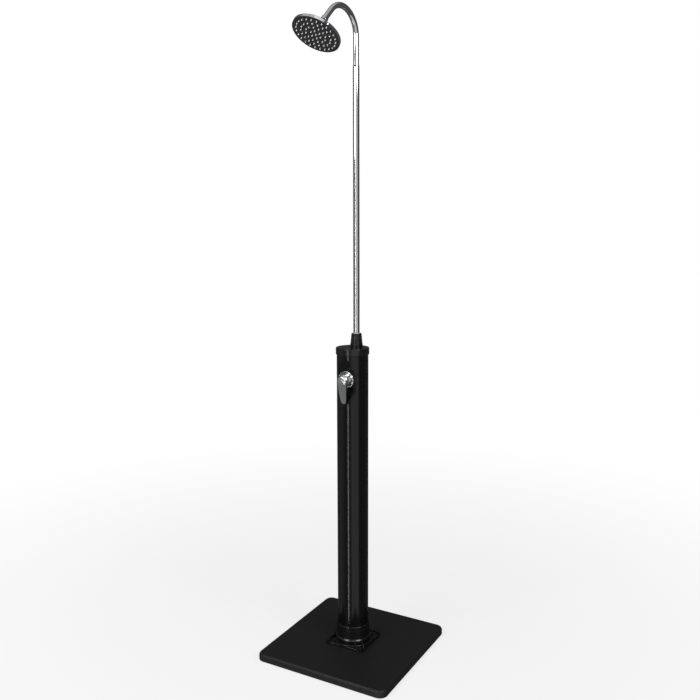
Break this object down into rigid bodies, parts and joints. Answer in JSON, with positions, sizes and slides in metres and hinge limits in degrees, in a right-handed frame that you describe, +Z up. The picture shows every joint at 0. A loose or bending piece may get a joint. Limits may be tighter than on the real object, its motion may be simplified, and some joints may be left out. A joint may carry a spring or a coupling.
{
  "type": "solar outdoor shower",
  "caption": "Free-standing shower: black tube tank on a weighted square base, lever mixer, hose inlet, gooseneck riser and swivelling round rain head.",
  "frame": {"origin": "on the floor under the centre of the square base", "axes": "+Z up; the mixer and the head face -Y; the hose inlet points along +Y"},
  "size_m": [0.508, 0.508, 2.232],
  "materials": {
    "moulded_black_base": "matt, faintly uneven moulded surface",
    "cast_concrete": "cast concrete",
    "black_rubber": "matt rubber",
    "black_pvc_tube": "satin gloss extruded tube",
    "black_abs": "satin moulded plastic",
    "dark_bolt_steel": "dark zinc plated steel",
    "natural_brass": "machined brass",
    "bright_chrome": "bright chrome plate",
    "satin_chrome": "satin chrome plate",
    "white_ceramic": "lapped ceramic",
    "white_acetal": "moulded acetal",
    "pipe_polymer": "extruded pipe",
    "steel_face": "polished steel sheet",
    "white_silicone": "moulded silicone",
    "pale_grey_ring": "moulded plastic"
  },
  "bodies": {
    "stand": {"base_cover": "moulded_black_base", "base_ballast": "cast_concrete", "rubber_feet": "black_rubber", "anchor_sleeves": "dark_bolt_steel", "tank_foot": "black_abs", "foot_washers": "dark_bolt_steel", "foot_bolts": "dark_bolt_steel", "tank_tube": "black_pvc_tube", "bottom_plug": "black_abs", "plug_seal": "black_rubber", "top_cap": "black_abs", "cap_seal": "black_rubber", "hose_inlet": "natural_brass", "inlet_gasket": "black_rubber", "inlet_locknut": "natural_brass", "drain_plug": "black_abs", "drain_washer": "black_rubber", "inlet_tee": "natural_brass", "cold_pipe": "pipe_polymer", "outlet_pipe": "pipe_polymer", "hot_pipe": "pipe_polymer", "valve_body": "natural_brass", "valve_gasket": "black_rubber", "valve_nut": "natural_brass", "escutcheon": "bright_chrome", "cartridge_housing": "white_acetal", "fixed_disc": "white_ceramic", "cartridge_nut": "natural_brass", "dome_cover": "bright_chrome", "union_base": "black_abs", "union_locknut": "black_abs", "union_nut": "black_abs", "gland_seal": "black_rubber", "grip_ring": "pale_grey_ring"},
    "riser": {"riser_tube": "bright_chrome", "riser_coupler": "bright_chrome", "gooseneck_arm": "bright_chrome", "arm_ferrule": "bright_chrome", "swivel_ball": "bright_chrome"},
    "seal_seat": {"ball_seal": "black_rubber"},
    "seal_ring": {"thrust_ring": "white_acetal"},
    "rain_head": {"swivel_nut": "bright_chrome", "head_shell": "bright_chrome", "face_plate": "steel_face", "nozzle_mat": "white_silicone", "face_seal": "black_rubber"},
    "temperature_turret": {"turret": "white_acetal", "turret_pin": "dark_bolt_steel"},
    "mixing_disc": {"moving_disc": "white_ceramic", "disc_carrier": "white_acetal"},
    "lever": {"lever_handle": "satin_chrome", "lever_stem": "natural_brass", "handle_screw": "dark_bolt_steel", "handle_cap": "satin_chrome"}
  },
  "joints": [
    {"name": "riser_turn", "type": "hinge", "parent": "stand", "child": "riser", "pos_m": [0, 0.0285, 1.14], "axis": [0, 0, 1], "continuous": true},
    {"name": "mixer_turn", "type": "hinge", "parent": "stand", "child": "temperature_turret", "pos_m": [0, -0.06, 1.008], "axis": [0, -1, 0], "range_deg": [-45, 45]},
    {"name": "lever_lift", "type": "hinge", "parent": "temperature_turret", "child": "lever", "pos_m": [0, -0.06, 1.008], "axis": [-1, 0, 0], "range_deg": [0, 25]},
    {"name": "disc_slide", "type": "slide", "parent": "temperature_turret", "child": "mixing_disc", "axis": [0, 0, -1], "range_m": [0, 0.0032]},
    {"name": "head_tilt", "type": "hinge", "parent": "riser", "child": "seal_seat", "pos_m": [-0.01917, -0.16018, 2.1485], "axis": [0.9617, -0.274, 0], "range_deg": [-33, 6]},
    {"name": "head_sway", "type": "hinge", "parent": "seal_seat", "child": "seal_ring", "pos_m": [-0.01917, -0.16018, 2.1485], "axis": [0.2318, 0.8138, -0.5329], "range_deg": [-19, 4]},
    {"name": "head_spin", "type": "hinge", "parent": "seal_ring", "child": "rain_head", "pos_m": [-0.01917, -0.16018, 2.1485], "axis": [-0.146, -0.5125, -0.8462], "continuous": true}
  ],
  "couplings": [
    {"joint": "disc_slide", "follows": "lever_lift", "m_per_rad": 0.007167}
  ]
}
